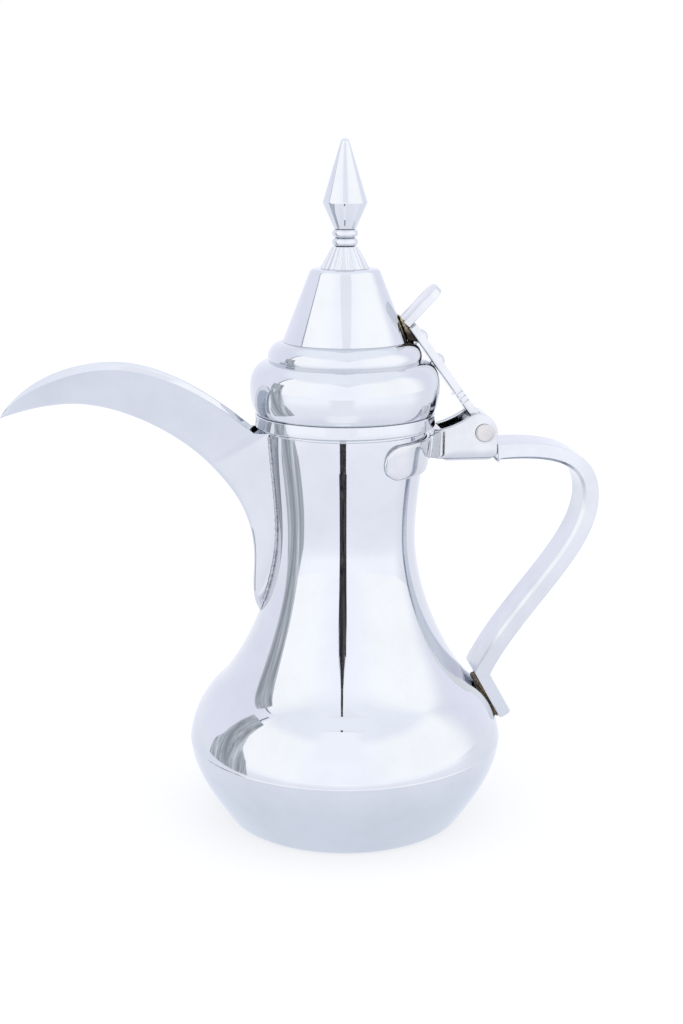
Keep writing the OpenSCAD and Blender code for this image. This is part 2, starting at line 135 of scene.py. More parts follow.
def smooth(mesh, sharp=SHARP):
    """Shades a mesh smooth, with hard edges where its faces turn by more than sharp."""
    mesh.shade_smooth()
    mesh.set_sharp_from_angle(angle=sharp)


def build(name, verts, faces, sharp=SHARP):
    """A closed smooth-shaded mesh from millimetre points, with its normals facing out."""
    mesh = bpy.data.meshes.new(name)
    mesh.from_pydata([tuple(v) for v in np.array(verts, float) * MM], [], faces)
    bm = bmesh.new()
    bm.from_mesh(mesh)
    bmesh.ops.remove_doubles(bm, verts=bm.verts, dist=1e-6)
    bmesh.ops.recalc_face_normals(bm, faces=bm.faces)
    bm.to_mesh(mesh)
    bm.free()
    smooth(mesh, sharp)
    obj = bpy.data.objects.new(name, mesh)
    bpy.context.collection.objects.link(obj)
    return obj


def bridge(rings, closed_ring=True, closed_run=False):
    """Quads between rings that all have the same number of points, as faces of the points laid end to end."""
    n = len(rings[0])
    around = range(n if closed_ring else n - 1)
    runs = range(len(rings) if closed_run else len(rings) - 1)
    total = len(rings) * n
    return [(i * n + k, i * n + (k + 1) % n, ((i + 1) * n + (k + 1) % n) % total, ((i + 1) * n + k) % total)
            for i in runs for k in around]


def spin(name, profile, segments=288, place=None, sharp=SHARP):
    """A closed profile of [radius, height] turned round the Z axis."""
    profile = np.maximum(np.array(profile, float), [0, -1e9])
    angles = np.linspace(0, 2 * pi, segments, endpoint=False)
    rings = [np.column_stack([profile[:, 0] * cos(a), profile[:, 0] * sin(a), profile[:, 1]]) for a in angles]
    points = np.vstack(rings)
    if place is not None:
        points = placed(points, place)
    return build(name, points, bridge(rings, True, True), sharp)


def placed(points, matrix):
    """Points moved by a 4x4 matrix."""
    m = np.array(matrix)
    return np.array(points) @ m[:3, :3].T + m[:3, 3]


def plate(name, outline, half, edge=0.5, steps=4, place=None):
    """A flat outline made 2 x half thick, with rounded edges, or bevelled ones if steps is 1."""
    outline = np.array(outline, float)
    edge = np.array(edge, float) * np.ones(len(outline))
    after = np.roll(outline, -1, axis=0)
    area = 0.5 * np.sum(outline[:, 0] * after[:, 1] - outline[:, 1] * after[:, 0])
    if area < 0:
        outline, edge = outline[::-1], edge[::-1]
    angles = np.linspace(0, pi / 2, steps + 1)
    levels = [(edge * (1 - sin(a)), half - edge * (1 - cos(a))) for a in angles]
    levels += [(inset, -out) for inset, out in reversed(levels)]
    rings = []
    for inset, height in levels:
        rings.append(np.column_stack([outline + inset[:, None] * left_normals(outline, True), height]))
    n = len(outline)
    faces = bridge(rings) + [tuple(range(n)), tuple(range((len(rings) - 1) * n, len(rings) * n))]
    points = np.vstack(rings)
    return build(name, points if place is None else placed(points, place), faces)


def tube(name, path, radii, sides=20):
    """A round bar along a path of points in space, closed with a small cap at each end."""
    path = [Vector(p) for p in path]
    rings = []
    for i, p in enumerate(path):
        way = (path[min(i + 1, len(path) - 1)] - path[max(i - 1, 0)]).normalized()
        side = way.cross(Vector((1, 0, 0)) if abs(way.x) < 0.8 else Vector((0, 0, 1))).normalized()
        up = way.cross(side)
        angles = [2 * pi * k / sides for k in range(sides)]
        rings.append([p + float(radii[i]) * (side * cos(a) + up * sin(a)) for a in angles])
    faces = bridge(rings) + [tuple(range(sides)), tuple(range((len(path) - 1) * sides, len(path) * sides))]
    return build(name, [v for r in rings for v in r], faces, radians(60))


def side_on(matrix=None):
    """Puts a plate's outline, drawn as [x, z], upright in the plane of the spout and handle."""
    upright = Matrix(((1, 0, 0, 0), (0, 0, -1, 0), (0, 1, 0, 0), (0, 0, 0, 1)))
    return upright if matrix is None else matrix @ upright


def settle(obj):
    """Applies an object's modifiers to its mesh."""
    depsgraph = bpy.context.evaluated_depsgraph_get()
    mesh = bpy.data.meshes.new_from_object(obj.evaluated_get(depsgraph))
    obj.modifiers.clear()
    obj.data = mesh
    return obj


def cut(obj, tool, operation="DIFFERENCE"):
    """Takes the shape of tool out of obj, or keeps only what lies inside it."""
    boolean = obj.modifiers.new("cut", "BOOLEAN")
    boolean.operation = operation
    boolean.object = tool
    settle(obj)
    bpy.data.objects.remove(tool)
    smooth(obj.data)
    return obj


def box(low, high, place=None):
    """A plain block between two corners."""
    corners = [(x, y, z) for x in (low[0], high[0]) for y in (low[1], high[1]) for z in (low[2], high[2])]
    faces = [(0, 1, 3, 2), (4, 6, 7, 5), (0, 4, 5, 1), (2, 3, 7, 6), (0, 2, 6, 4), (1, 5, 7, 3)]
    return build("block", corners if place is None else placed(corners, place), faces)


def join(name, parts):
    """One object that holds the meshes of several."""
    bm = bmesh.new()
    for part in parts:
        bm.from_mesh(part.data)
        bpy.data.objects.remove(part)
    mesh = bpy.data.meshes.new(name)
    bm.to_mesh(mesh)
    bm.free()
    obj = bpy.data.objects.new(name, mesh)
    bpy.context.collection.objects.link(obj)
    return obj


def cast(name, parts, voxel, smooth):
    """Several overlapping solids run into one with softly rounded corners, as a casting has."""
    obj = join(name, parts)
    remesh = obj.modifiers.new("remesh", "REMESH")
    remesh.mode = "VOXEL"
    remesh.voxel_size = voxel * MM
    soften = obj.modifiers.new("soften", "SMOOTH")
    soften.factor = 0.5
    soften.iterations = smooth
    settle(obj)
    obj.data.shade_smooth()
    return obj


def lumps(obj, height, size):
    """Pushes a mesh's surface in and out by up to height, in lumps about size across."""
    for v in obj.data.vertices:
        v.co += v.normal * noise.noise(v.co / (size * MM)) * height * MM
    return obj


def cad_copy(name, node):
    """A new object with a copy of a CAD node's mesh."""
    obj = bpy.data.objects.new(name, frame["nodes"][node].data.copy())
    bpy.context.collection.objects.link(obj)
    return obj


# ---- Materials ----------------------------------------------------------------------------


class Graph:
    """A few short ways to wire the nodes of a material or of the world."""

    def __init__(self, tree):
        self.tree = tree

    def node(self, kind, links=(), **settings):
        """A new node. links gives each input its constant or the output that feeds it."""
        made = self.tree.nodes.new(kind)
        for key, value in settings.items():
            setattr(made, key, value)
        for socket, source in dict(links).items():
            if isinstance(source, bpy.types.NodeSocket):
                self.tree.links.new(source, made.inputs[socket])
            else:
                made.inputs[socket].default_value = source
        return made

    def math(self, operation, *values):
        """The result of one sum."""
        return self.node("ShaderNodeMath", dict(enumerate(values)), operation=operation).outputs[0]

    def ramp(self, value, low, high, start, end, shape="LINEAR"):
        """start where value is low, end where it is high."""
        links = {"Value": value, "From Min": low, "From Max": high, "To Min": start, "To Max": end}
        return self.node("ShaderNodeMapRange", links, interpolation_type=shape).outputs[0]

    def mix(self, amount, a, b):
        """Colour a where amount is 0, and colour b where it is 1."""
        made = self.node("ShaderNodeMix", data_type="RGBA")
        for socket, source in ((0, amount), (6, a), (7, b)):
            if isinstance(source, bpy.types.NodeSocket):
                self.tree.links.new(source, made.inputs[socket])
            else:
                made.inputs[socket].default_value = (*source, 1) if socket else source
        return made.outputs[2]


class Shader(Graph):
    """A Principled material."""

    def __init__(self, name, colour, roughness, metallic=1.0):
        self.material = bpy.data.materials.new(name)
        self.material.use_nodes = True
        super().__init__(self.material.node_tree)
        self.principled = self.tree.nodes["Principled BSDF"]
        self.principled.inputs["Base Color"].default_value = (*colour, 1)
        self.principled.inputs["Roughness"].default_value = roughness
        self.principled.inputs["Metallic"].default_value = metallic
        self.place = self.node("ShaderNodeTexCoord").outputs["Object"]
        self.normal = None

    def stretched(self, scale, turn=(0, 0, 0)):
        """Object coordinates scaled differently along each axis."""
        links = {"Vector": self.place, "Scale": scale, "Rotation": turn}
        return self.node("ShaderNodeMapping", links).outputs[0]

    def noise(self, scale, detail=3.0, stretch=(1, 1, 1), turn=(0, 0, 0), rough=0.5):
        """Soft random patches, scale of them to a metre."""
        where = self.stretched(stretch, turn)
        links = {"Vector": where, "Scale": scale, "Detail": detail, "Roughness": rough}
        return self.node("ShaderNodeTexNoise", links).outputs["Fac"]

    def bump(self, height, distance):
        """Adds a bump layer. distance is in millimetres for a height of 1."""
        links = {"Height": height, "Distance": distance * MM}
        if self.normal is not None:
            links["Normal"] = self.normal
        self.normal = self.node("ShaderNodeBump", links).outputs[0]
        self.tree.links.new(self.normal, self.principled.inputs["Normal"])

    def set(self, socket, source):
        """Feeds one of the material's own inputs."""
        self.tree.links.new(source, self.principled.inputs[socket])


def steel(name, colour, roughness, smudge, wave=0.0, wave_size=20.0, rings=0.0, brush=None, brush_height=0.0,
          dark=0.94):
    """Bright steel.

    smudge is the roughness of handled patches, wave the height in mm of slow unevenness, rings the height
    of the fine turning marks round the axis, and brush the stretch of straight polishing marks.
    """
    s = Shader(name, colour, roughness)
    patches = s.noise(38, 5, rough=0.62)
    film = s.ramp(patches, 0.42, 0.72, 0, 1)
    s.set("Base Color", s.mix(film, colour, tuple(c * dark for c in colour)))
    specks = s.noise(900, 2)
    base_rough = s.ramp(patches, 0.4, 0.75, roughness, smudge)
    grit = s.ramp(specks, 0.6, 0.85, 0, 0.05)
    s.set("Roughness", s.math("ADD", base_rough, grit))
    if wave:
        s.bump(s.noise(1000 / wave_size, 1.5), wave)
    if rings:
        s.bump(s.noise(1, 2, stretch=(6, 6, 2600)), rings)
    if brush:
        s.bump(s.noise(1, 3, stretch=brush[:3], turn=brush[3:] or (0, 0, 0)), brush_height)
    return s.material


CHROME = (0.70, 0.722, 0.76)
materials = {
    "body_steel": steel("mat_body_steel", CHROME, 0.03, 0.07, wave=0.012, wave_size=16, rings=0.0006),
    "spout_steel": steel("mat_spout_steel", CHROME, 0.08, 0.16, wave=0.03, wave_size=22,
                         brush=(60, 60, 1500, 0, radians(35), 0), brush_height=0.002),
    "lid_steel": steel("mat_lid_steel", CHROME, 0.035, 0.07, wave=0.006, wave_size=14, rings=0.0008),
    "finial_steel": steel("mat_finial_steel", CHROME, 0.03, 0.06, wave=0.002, wave_size=5, rings=0.0006),
    "cast_steel": steel("mat_cast_steel", (0.70, 0.715, 0.74), 0.06, 0.16, wave=0.03, wave_size=5, dark=0.85),
    "handle_steel": steel("mat_handle_steel", (0.69, 0.71, 0.745), 0.10, 0.24, wave=0.03, wave_size=10,
                          brush=(90, 3000, 90), brush_height=0.003, dark=0.9),
    "pin_steel": steel("mat_pin_steel", (0.69, 0.675, 0.67), 0.26, 0.45, wave=0.03, wave_size=1.5, dark=0.8),
}


def weld_metal(name, colours, roughness, size, height, painted_shade=None, way=(0, 0, 1)):
    """Rough filler metal, coloured in patches by the heat.

    The shade argument, [low, high, colour], is painted shade: the metal is darkened to that colour where it
    lies lower than low along way, deep in the gap it fills.
    """
    s = Shader(name, colours[0], roughness)
    near, far = s.noise(1000 / size, 4, rough=0.7), s.noise(400 / size, 3)
    tint = s.mix(s.ramp(far, 0.35, 0.65, 0, 1), colours[0], colours[1])
    tint = s.mix(s.ramp(near, 0.45, 0.7, 0, 1), tint, colours[2])
    # Painted shade: the filler turns near-black where it lies deep in its gap.
    if painted_shade:
        level = s.node("ShaderNodeVectorMath", {0: s.place, 1: way}, operation="DOT_PRODUCT").outputs["Value"]
        tint = s.mix(s.ramp(level, painted_shade[0], painted_shade[1], 0, 1), painted_shade[2], tint)
    s.set("Base Color", tint)
    s.set("Roughness", s.ramp(near, 0.3, 0.7, roughness, roughness + 0.25))
    s.bump(near, height)
    return s.material


bright_metal = ((0.5, 0.52, 0.56), (0.62, 0.63, 0.66), (0.34, 0.35, 0.38))
materials["weld_metal"] = weld_metal("mat_weld_metal", bright_metal, 0.22, 1.2, 0.06)
# The braze is painted near-black below a height of 218 mm: painted shade in the gap between the cone and the
# strap.
materials["braze"] = weld_metal("mat_braze", ((0.60, 0.50, 0.30), (0.68, 0.62, 0.46), (0.36, 0.27, 0.15)),
                                0.3, 2, 0.12, (0.218, 0.2245, (0.04, 0.034, 0.028)))
materials["zinc_hardware"] = steel("mat_zinc_hardware", (0.50, 0.50, 0.49), 0.3, 0.5, wave=0.01,
                                   wave_size=1.5, dark=0.75)


def finish_piece(obj, slot, body, *nodes):
    """Gives a piece its material, the body it rides on and the CAD nodes it stands for."""
    obj.data.materials.clear()
    obj.data.materials.append(materials[slot])
    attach(obj, body)
    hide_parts(*nodes)


# ---- Body ---------------------------------------------------------------------------------
WALL, GAP = 1.0, 0.05
BASE_R, BELLY_R, BELLY_Z = 49.5, 69.8, 37.4
WAIST_R, WAIST_Z, MOUTH_R, MOUTH_Z = 31, 130, 35.5, 177.3
bowl_path = chain(bez([(BASE_R, 0), (BASE_R + 2, 0), (BASE_R + 3.3, 1), (BASE_R + 4.3, 2.4)], 8),
                  bez([(BASE_R + 4.3, 2.4), (BASE_R + 11, 12.5), (BELLY_R - 0.45, BELLY_Z - 12.9),
                       (BELLY_R, BELLY_Z)], 48))
bowl_path = np.vstack([bowl_path[:-1], [(BELLY_R - 0.01, BELLY_Z - 0.35), (BELLY_R - 0.2, BELLY_Z - 0.04)]])
body_path = chain(bez([(BELLY_R, BELLY_Z), (BELLY_R - 1.2, BELLY_Z + 8.5), (65, 54.5), (57, 62)], 40),
                  bez([(57, 62), (49, 69.5), (WAIST_R, WAIST_Z - 30), (WAIST_R, WAIST_Z)], 60),
                  bez([(WAIST_R, WAIST_Z), (WAIST_R, WAIST_Z + 16), (MOUTH_R - 0.9, MOUTH_Z - 16),
                       (MOUTH_R, MOUTH_Z)], 40))


def body_r(z):
    """Outer radius of the body at a height."""
    return np.interp(z, body_path[:, 1], body_path[:, 0])


SEAM_HALF_W, MOUTH_BEAD_R = 10.4, 0.8
along_x = Matrix(((0, 0, 1, 0), (1, 0, 0, 0), (0, 1, 0, 0), (0, 0, 0, 1)))
body = spin("body_skin", np.vstack([body_path, beside(body_path, WALL)[::-1]]))
pour = plate("pour_tool", [(-0.8, 104), (0.8, 104), (6.5, 168), (-6.5, 168)], 20, 0.01, 1,
             Matrix.Translation((-40, 0, 0)) @ along_x)
cut(body, pour)
bead_at = np.radians(np.linspace(17.2, 342.8, 280)) + pi
bead_path = [((MOUTH_R + 0.3) * cos(a), (MOUTH_R + 0.3) * sin(a), MOUTH_Z + 0.2) for a in bead_at]
bead = tube("mouth_bead", bead_path, [MOUTH_BEAD_R] * len(bead_at), 24)
body = join("body_with_bead", [body, bead])
smooth(body.data)
finish_piece(body, "body_steel", "root", "body_shell")

bowl_inner = beside(bowl_path, WALL)
bowl_inner = bowl_inner[bowl_inner[:, 1] > WALL]
bowl = spin("bowl_skin", np.vstack([[(0, 0)], bowl_path, bowl_inner[::-1], [(0, WALL)]]))
finish_piece(bowl, "body_steel", "root", "base_bowl")

# ---- Spout --------------------------------------------------------------------------------
FINE = 5
TIP = np.array([-147.5, 184.2])
RIM_TOP, RIM_END = (-100.5, 206), (-40.3, MOUTH_Z - 0.2)
KEEL_TOP, KEEL_TURN, KEEL_BEND, KEEL_END = (-117.5, 189.8), (-59.4, 162.5), (-40.4, 122), (-38.9, 97.2)
rim_path = chain(bez([TIP + (0.2, 0.9), (-139, 197.5), (-119, 206), RIM_TOP], 8 * FINE),
                 bez([RIM_TOP, (-78, 206), (-56, 190.5), RIM_END], 10 * FINE))
keel_path = chain(bez([TIP, (-138, 187.3), (-128, 189.8), KEEL_TOP], 6 * FINE),
                  bez([KEEL_TOP, (-97, 189.8), (-72, 176), KEEL_TURN], 12 * FINE),
                  bez([KEEL_TURN, (-50, 152.4), (-40.9, 141), KEEL_BEND], 8 * FINE),
                  bez([KEEL_BEND, (-40.1, 114), (-42.2, 103), KEEL_END], 6 * FINE))
seam_path = chain(np.linspace((SEAM_HALF_W, MOUTH_Z - 0.2), (SEAM_HALF_W, MOUTH_Z - 0.5), FINE + 1),
                  bez([(SEAM_HALF_W, MOUTH_Z - 0.5), (9.2, 152), (4.2, 132), (1, 95.6)], 13 * FINE))[1:]
SPOUT_HALF_W, KEEL_ROUND = 12, 2.0
TIP_RUN, NECK_RUN = 32, 40


def rim_half_w(x):
    """Half width of the spout's rim above x: full along the spout, closing to the blunt tip."""
    to_tip = max(0.0, 1 - (x - TIP[0]) / TIP_RUN)
    to_neck = max(0.0, 1 + (x - RIM_END[0]) / NECK_RUN)
    return max(1.0, SPOUT_HALF_W * (1 - to_tip ** 3) - (SPOUT_HALF_W - SEAM_HALF_W) * to_neck)


def top_end(i, y):
    """The upper end of spout section i, which lies on the rim or on the neck."""
    if i < len(rim_path):
        return rim_path[i]
    z = seam_path[i - len(rim_path)][1]
    return np.array([-sqrt((body_r(z) + GAP) ** 2 - y * y), z])


def spout_section(i):
    """The closed outline of one pressed sheet at section i, outer side first."""
    keel = keel_path[i]
    width = rim_half_w(rim_path[i][0]) if i < len(rim_path) else seam_path[i - len(rim_path)][0]
    thick = min(WALL, width / 2)
    run = np.linalg.norm(top_end(i, width) - keel)
    lift = min(0.45, 1.2 * WALL / run)

    def side(half, share, low):
        r = min(KEEL_ROUND, half)
        near = 1 - min(1.0, share * run / r)
        y = r * sqrt(1 - near * near) + (half - r) * share
        p = keel + (top_end(i, half) - keel) * (low + (1 - low) * share)
        return (p[0], y, p[1])

    def over_rim(a):
        y = width - thick / 2 * (1 - cos(a))
        p = keel + (top_end(i, y) - keel) * (1 - rim_drop * (1 - sin(a)))
        return (p[0], y, p[1])

    rounded = min(0.5, KEEL_ROUND / run)
    rim_drop = min(0.1, thick / 2 / run)
    shares = [rounded * (1 - cos(a)) for a in np.linspace(0, pi / 2, 9)]
    shares += list(np.linspace(rounded, 1 - rim_drop, 17)[1:])
    rim = [over_rim(radians(a)) for a in (30, 65, 115, 150)]
    inside = [side(width - thick, u, lift) for u in reversed(shares)]
    return [side(width, u, 0) for u in shares] + rim + inside


sections = [spout_section(i) for i in range(len(keel_path))]
ring = len(sections[0])
caps = [(o, o + 1, ring - 2 - o, ring - 1 - o) for o in range(ring // 2 - 1)]
last = (len(sections) - 1) * ring
spout_faces = bridge(sections) + caps + [tuple(last + k for k in cap) for cap in caps]
for side_name, mirror in (("left", 1), ("right", -1)):
    points = np.array([p for s in sections for p in s]) * (1, mirror, 1)
    half = build(f"spout_{side_name}", points, spout_faces, radians(50))
    finish_piece(half, "spout_steel", "root", f"spout_{side_name}_half")

weld_lines = []
for mirror in (1, -1):
    line, radii = [], []
    for i, (half, z) in enumerate(seam_path[FINE:-FINE // 2]):
        y = half + 0.75
        line.append((-sqrt((body_r(z) + 0.45) ** 2 - y * y), mirror * y, z))
        radii.append(0.62 + 0.1 * sin(i * 2.1))
    weld_lines.append(tube(f"weld_line_{mirror}", line, radii, 12))
spout_seam = join("spout_seam", weld_lines)
spout_seam.data.shade_smooth()
finish_piece(spout_seam, "weld_metal", "root", "spout_weld")

# ---- Hinge --------------------------------------------------------------------------------
PIN_X, PIN_Z, PIN_R = 59.9, 175, 2.45
BRACKET_W, CHEEK, BRACKET_END = 20, 2.6, 65.9
HEAD_R = 8.3
HEAD_C = (BRACKET_END - HEAD_R, PIN_Z + 0.1)


def saddle(low, high, thick, wrap):
    """The curved leaf that hugs the neck to wrap degrees each way, with rounded ends and edges."""
    steps, sides, end = 121, 28, 13
    mid, half = (low + high) / 2, (high - low) / 2
    rings = []
    for a in np.linspace(-wrap, wrap, steps):
        over = max(0.0, abs(a) - (wrap - end)) / end
        reach = half * sqrt(max(0.0, 1 - over ** 2))
        ring = []
        for k in np.linspace(0, 2 * pi, sides, endpoint=False):
            z = mid + reach * np.sign(sin(k)) * abs(sin(k)) ** 0.45
            out = 0.5 * thick * (1 + np.sign(cos(k)) * abs(cos(k)) ** 0.6)
            r = body_r(z) + GAP + out * (0.15 + 0.85 * sqrt(max(0.0, 1 - over ** 2)))
            ring.append((r * cos(radians(a)), r * sin(radians(a)), z))
        rings.append(ring)
    faces = bridge(rings) + [tuple(range(sides)), tuple(range((steps - 1) * sides, steps * sides))]
    return build("saddle", [p for r in rings for p in r], faces)


HEAD_BACK = np.array(HEAD_C) + HEAD_R * np.array([cos(radians(125)), sin(radians(125))])
bracket_side = np.vstack([[(36, 163.8), (42, 163.6), (43.4, 162.2), (62.6, 162.2), (BRACKET_END, 165.4)],
                          arc(HEAD_C, HEAD_R, 0, 125, 30),
                          bez([HEAD_BACK, (49.5, 179.6), (44.5, 177.4), (38.2, 176.4)], 16)[1:],
                          [(38.2, 174), (36, 174)]])
half_w = BRACKET_W / 2
plan_side = bez([(34, 6.5), (39.5, 6.5), (39.5, half_w), (47, half_w)], 16)
bracket_plan = np.vstack([[(30, 6.5)], plan_side, [(70, half_w), (70, -half_w)],
                          (plan_side * (1, -1))[::-1], [(30, -6.5)]])
bar_section = fillet([(-half_w, 162.2), (half_w, 162.2), (half_w, 190), (-half_w, 190)], [5, 5, 0, 0], 8)
fork = plate("fork", bracket_side, half_w + 1, 0.01, 1, side_on())
cut(fork, plate("plan", bracket_plan, 30, 0.01, 1, Matrix.Translation((0, 0, 170))), "INTERSECT")
cut(fork, plate("bar", bar_section, 30, 0.01, 1, Matrix.Translation((50, 0, 0)) @ along_x), "INTERSECT")
CHANNEL_START, CHANNEL_END, CHANNEL_FLOOR, OPEN_FLOOR = 41.5, 63.5, 165.5, 169.5
inside = half_w - CHEEK
cut(fork, box((CHANNEL_START, -inside, CHANNEL_FLOOR), (CHANNEL_END, inside, 200)))
cut(fork, box((PIN_X + 0.1, -inside, OPEN_FLOOR), (BRACKET_END + 4.1, inside, 200)))
bracket = cast("bracket_casting", [saddle(159, 174.3, 2.4, 69), fork], 0.33, 15)
along_pin = Matrix.Translation((PIN_X, 0, PIN_Z)) @ Matrix.Rotation(radians(90), 4, "X")
cut(bracket, spin("bore_tool", [(0, -12), (PIN_R + 0.06, -12), (PIN_R + 0.06, 12), (0, 12)], 96, along_pin))
SINK_R, SINK_DEEP = 4.55, 0.35
for side in (-1, 1):
    floor_y = side * (half_w - SINK_DEEP)
    sunk = [(0, floor_y), (SINK_R, floor_y), (SINK_R + 0.2, side * 11), (0, side * 11)]
    cut(bracket, spin("sink_tool", sunk, 96, along_pin))
finish_piece(bracket, "cast_steel", "root", "hinge_bracket")

head = half_w + GAP
pin_profile = fillet([(0, -head - 0.9), (3.3, -head - 0.9), (4, -head - 0.35), (4, -head), (PIN_R, -head),
                      (PIN_R, head), (4, head), (4, head + 0.35), (3.3, head + 0.9), (0, head + 0.9)],
                     [0, 0.3, 0.2, 0, 0, 0, 0, 0.2, 0.3, 0], 4)
finish_piece(spin("pin_rod", pin_profile, 96, along_pin), "pin_steel", "root", "hinge_pin")

# ---- Handle -------------------------------------------------------------------------------
HANDLE_W, HANDLE_T = 21, 7
START, OUT, MID, HEEL = (BRACKET_END, 166.5), (108.4, 145), (87.6, 104), (60.9, 64.6)
handle_path = chain(bez([START, (88, 167.5), (108.4, 166), OUT], 44),
                    bez([OUT, (108.4, 131), (98, 117.5), MID], 24),
                    bez([MID, (77.5, 91), (66.2, 77), HEEL], 24))
outer, inner = beside(handle_path, HANDLE_T / 2), beside(handle_path, -HANDLE_T / 2)
FOOT_Z, FOOT_T, FOOT_LEN = 51.5, 5.8, 9.2
foot_touch = np.array([body_r(FOOT_Z) + 0.1, FOOT_Z])
foot_dir = np.array([body_r(FOOT_Z - 0.5) - body_r(FOOT_Z + 0.5), -1])
foot_dir /= np.linalg.norm(foot_dir)
foot_out = np.array([-foot_dir[1], foot_dir[0]]) * FOOT_T
foot_toe = foot_touch + foot_dir * FOOT_LEN
heel_dir = handle_path[-1] - handle_path[-2]
heel_out = meet(outer[-1], heel_dir, foot_touch + foot_out, foot_dir)
heel_in = meet(inner[-1], heel_dir, foot_touch, foot_dir)
foot_corners = [outer[-2], heel_out, foot_toe + foot_out, foot_toe, heel_in, inner[-2]]
foot_round = fillet(foot_corners, [0, 2.2, 1.9, 1.2, 1.6, 0], 6, closed=False)
inner_run = inner[:-2][::-1]
handle_side = np.vstack([outer[:-2], foot_round, inner_run])
OUTER_BEVEL, INNER_BEVEL = 0.35, 1.3
bevel = np.full(len(handle_side), OUTER_BEVEL)
widened = np.sin(np.linspace(0, pi, len(inner_run))) ** 0.25
bevel[-len(inner_run):] = OUTER_BEVEL + (INNER_BEVEL - OUTER_BEVEL) * widened
handle = plate("handle_bar", handle_side, HANDLE_W / 2, bevel, 1, side_on())
finish_piece(handle, "handle_steel", "root", "handle")

bead_y = np.linspace(-9.4, 9.4, 90)
root_bead = tube("root_bead", [(BRACKET_END + 0.5, y, START[1] - HANDLE_T / 2 - 0.35) for y in bead_y],
                 [0.7 + 0.08 * sin(y * 5.5) - 0.5 * max(0, abs(y) - 8.8) for y in bead_y], 16)
finish_piece(root_bead, "weld_metal", "root", "handle_root_weld")
foot_side = [foot_touch + foot_dir * t - foot_out * 0.01 for t in np.linspace(8.6, -9.4, 18)]
body_side = [(body_r(z) - 0.8, z) for z in np.linspace(58.8, 44.6, 18)]
foot_normal = foot_out / FOOT_T
foot_face = foot_touch @ foot_normal
burnt_metal = ((0.26, 0.19, 0.12), (0.44, 0.34, 0.23), (0.14, 0.10, 0.06))
# The foot weld's near-black core is painted shade: the filler darkens where it lies more than 1.9 mm in from
# the foot's face, deeper in the crevice against the body.
materials["burnt_weld"] = weld_metal("mat_burnt_weld", burnt_metal, 0.4, 2.5, 0.15,
                                     ((foot_face - 1.9) * MM, (foot_face - 0.2) * MM, (0.03, 0.027, 0.018)),
                                     (foot_normal[0], 0, foot_normal[1]))
foot_wedge = plate("foot_wedge", foot_side + body_side, 9.6, 0.3, 2, side_on())
foot_filler = cast("foot_filler", [foot_wedge], 0.3, 3)
lumps(foot_filler, 0.35, 1.6)
finish_piece(foot_filler, "burnt_weld", "root", "handle_foot_weld")

# ---- Lid ----------------------------------------------------------------------------------
BAND_R, BAND_Z, BAND_H = 39.2, MOUTH_Z + 1.3, 5.3
SKIRT_R, SKIRT_H = 33.4, 6.3
BAND_TOP = BAND_Z + BAND_H
rim_profile = fillet([(SKIRT_R, BAND_Z - SKIRT_H), (SKIRT_R, BAND_Z), (BAND_R, BAND_Z), (BAND_R, BAND_TOP),
                      (BAND_R - WALL, BAND_TOP), (BAND_R - WALL, BAND_Z + WALL),
                      (SKIRT_R - WALL, BAND_Z + WALL), (SKIRT_R - WALL, BAND_Z - SKIRT_H)],
                     [0.3, 0.4, 0.45, 0.4, 0.3, 0, 0.3, 0.3], 5)
finish_piece(spin("lid_band", rim_profile), "lid_steel", "lid", "lid_rim")

BULGE_R, CREASE, CONE_R, CONE_Z = 41.2, (33, 206.8), 26.9, 215
dome_foot = BAND_R - WALL - GAP
dome_start = (dome_foot + 0.2, BAND_TOP + 0.1)
dome_path = chain(np.array([(dome_foot, BAND_Z + WALL + GAP), (dome_foot, BAND_TOP), dome_start]),
                  bez([dome_start, (BAND_R + 0.7, 185.5), (BULGE_R, 190), (BULGE_R, 195.5)], 32),
                  bez([(BULGE_R, 195.5), (BULGE_R, 201.5), (38.5, 205.8), CREASE], 40),
                  bez([CREASE, (34.2, 209.5), (32.2, 214.2), (CONE_R, CONE_Z)], 32))
dome_loop = np.vstack([dome_path, beside(dome_path, WALL)[::-1]])
finish_piece(spin("dome_skin", dome_loop), "lid_steel", "lid", "lid_dome")

CONE_TOP_R, CONE_TOP_Z = 15.3, 246
cone_side = np.linspace((CONE_R, CONE_Z + GAP), (CONE_TOP_R, CONE_TOP_Z - 1.7), 24)
cone_path = chain(cone_side, bez([(CONE_TOP_R, CONE_TOP_Z - 1.7), (CONE_TOP_R - 0.4, CONE_TOP_Z - 0.4),
                                  (CONE_TOP_R - 1.4, CONE_TOP_Z), (CONE_TOP_R - 2.8, CONE_TOP_Z)], 12))
cone_inner = beside(cone_path, WALL)
STUD_R = 2
cone_loop = np.vstack([cone_path, [(STUD_R + GAP, CONE_TOP_Z)], [(STUD_R + GAP, cone_inner[-1][1])],
                       cone_inner[::-1]])
finish_piece(spin("cone_skin", cone_loop), "lid_steel", "lid", "lid_cone")


# ---- Finial -------------------------------------------------------------------------------
COLLAR_Z, COLLAR_H, COLLAR_R, BEAD_R, BEAD_HALF = CONE_TOP_Z + GAP, 9.1, 10.6, 5.6, 1.83
FLUTES, FLUTE_R = 20, 0.8
bore = STUD_R + GAP


def fluted(height):
    """One ring of the collar's outside at a share of its height."""
    ring = []
    radius = COLLAR_R + (BEAD_R - 0.1 - COLLAR_R) * height
    for k in range(FLUTES * 18):  # 18 points to a flute
        a = 2 * pi * k / (FLUTES * 18)
        off = (a * FLUTES / (2 * pi) + 0.5) % 1 - 0.5
        across = radius * sin(off * 2 * pi / FLUTES)
        deep = sqrt(FLUTE_R ** 2 - across ** 2) - 0.42 if abs(across) < FLUTE_R else 0
        r = radius - max(0.0, deep)
        ring.append((r * cos(a), r * sin(a), COLLAR_Z + COLLAR_H * height))
    return ring


def plain_ring(radius, z, n):
    """A circle of n points."""
    return [(radius * cos(2 * pi * k / n), radius * sin(2 * pi * k / n), z) for k in range(n)]


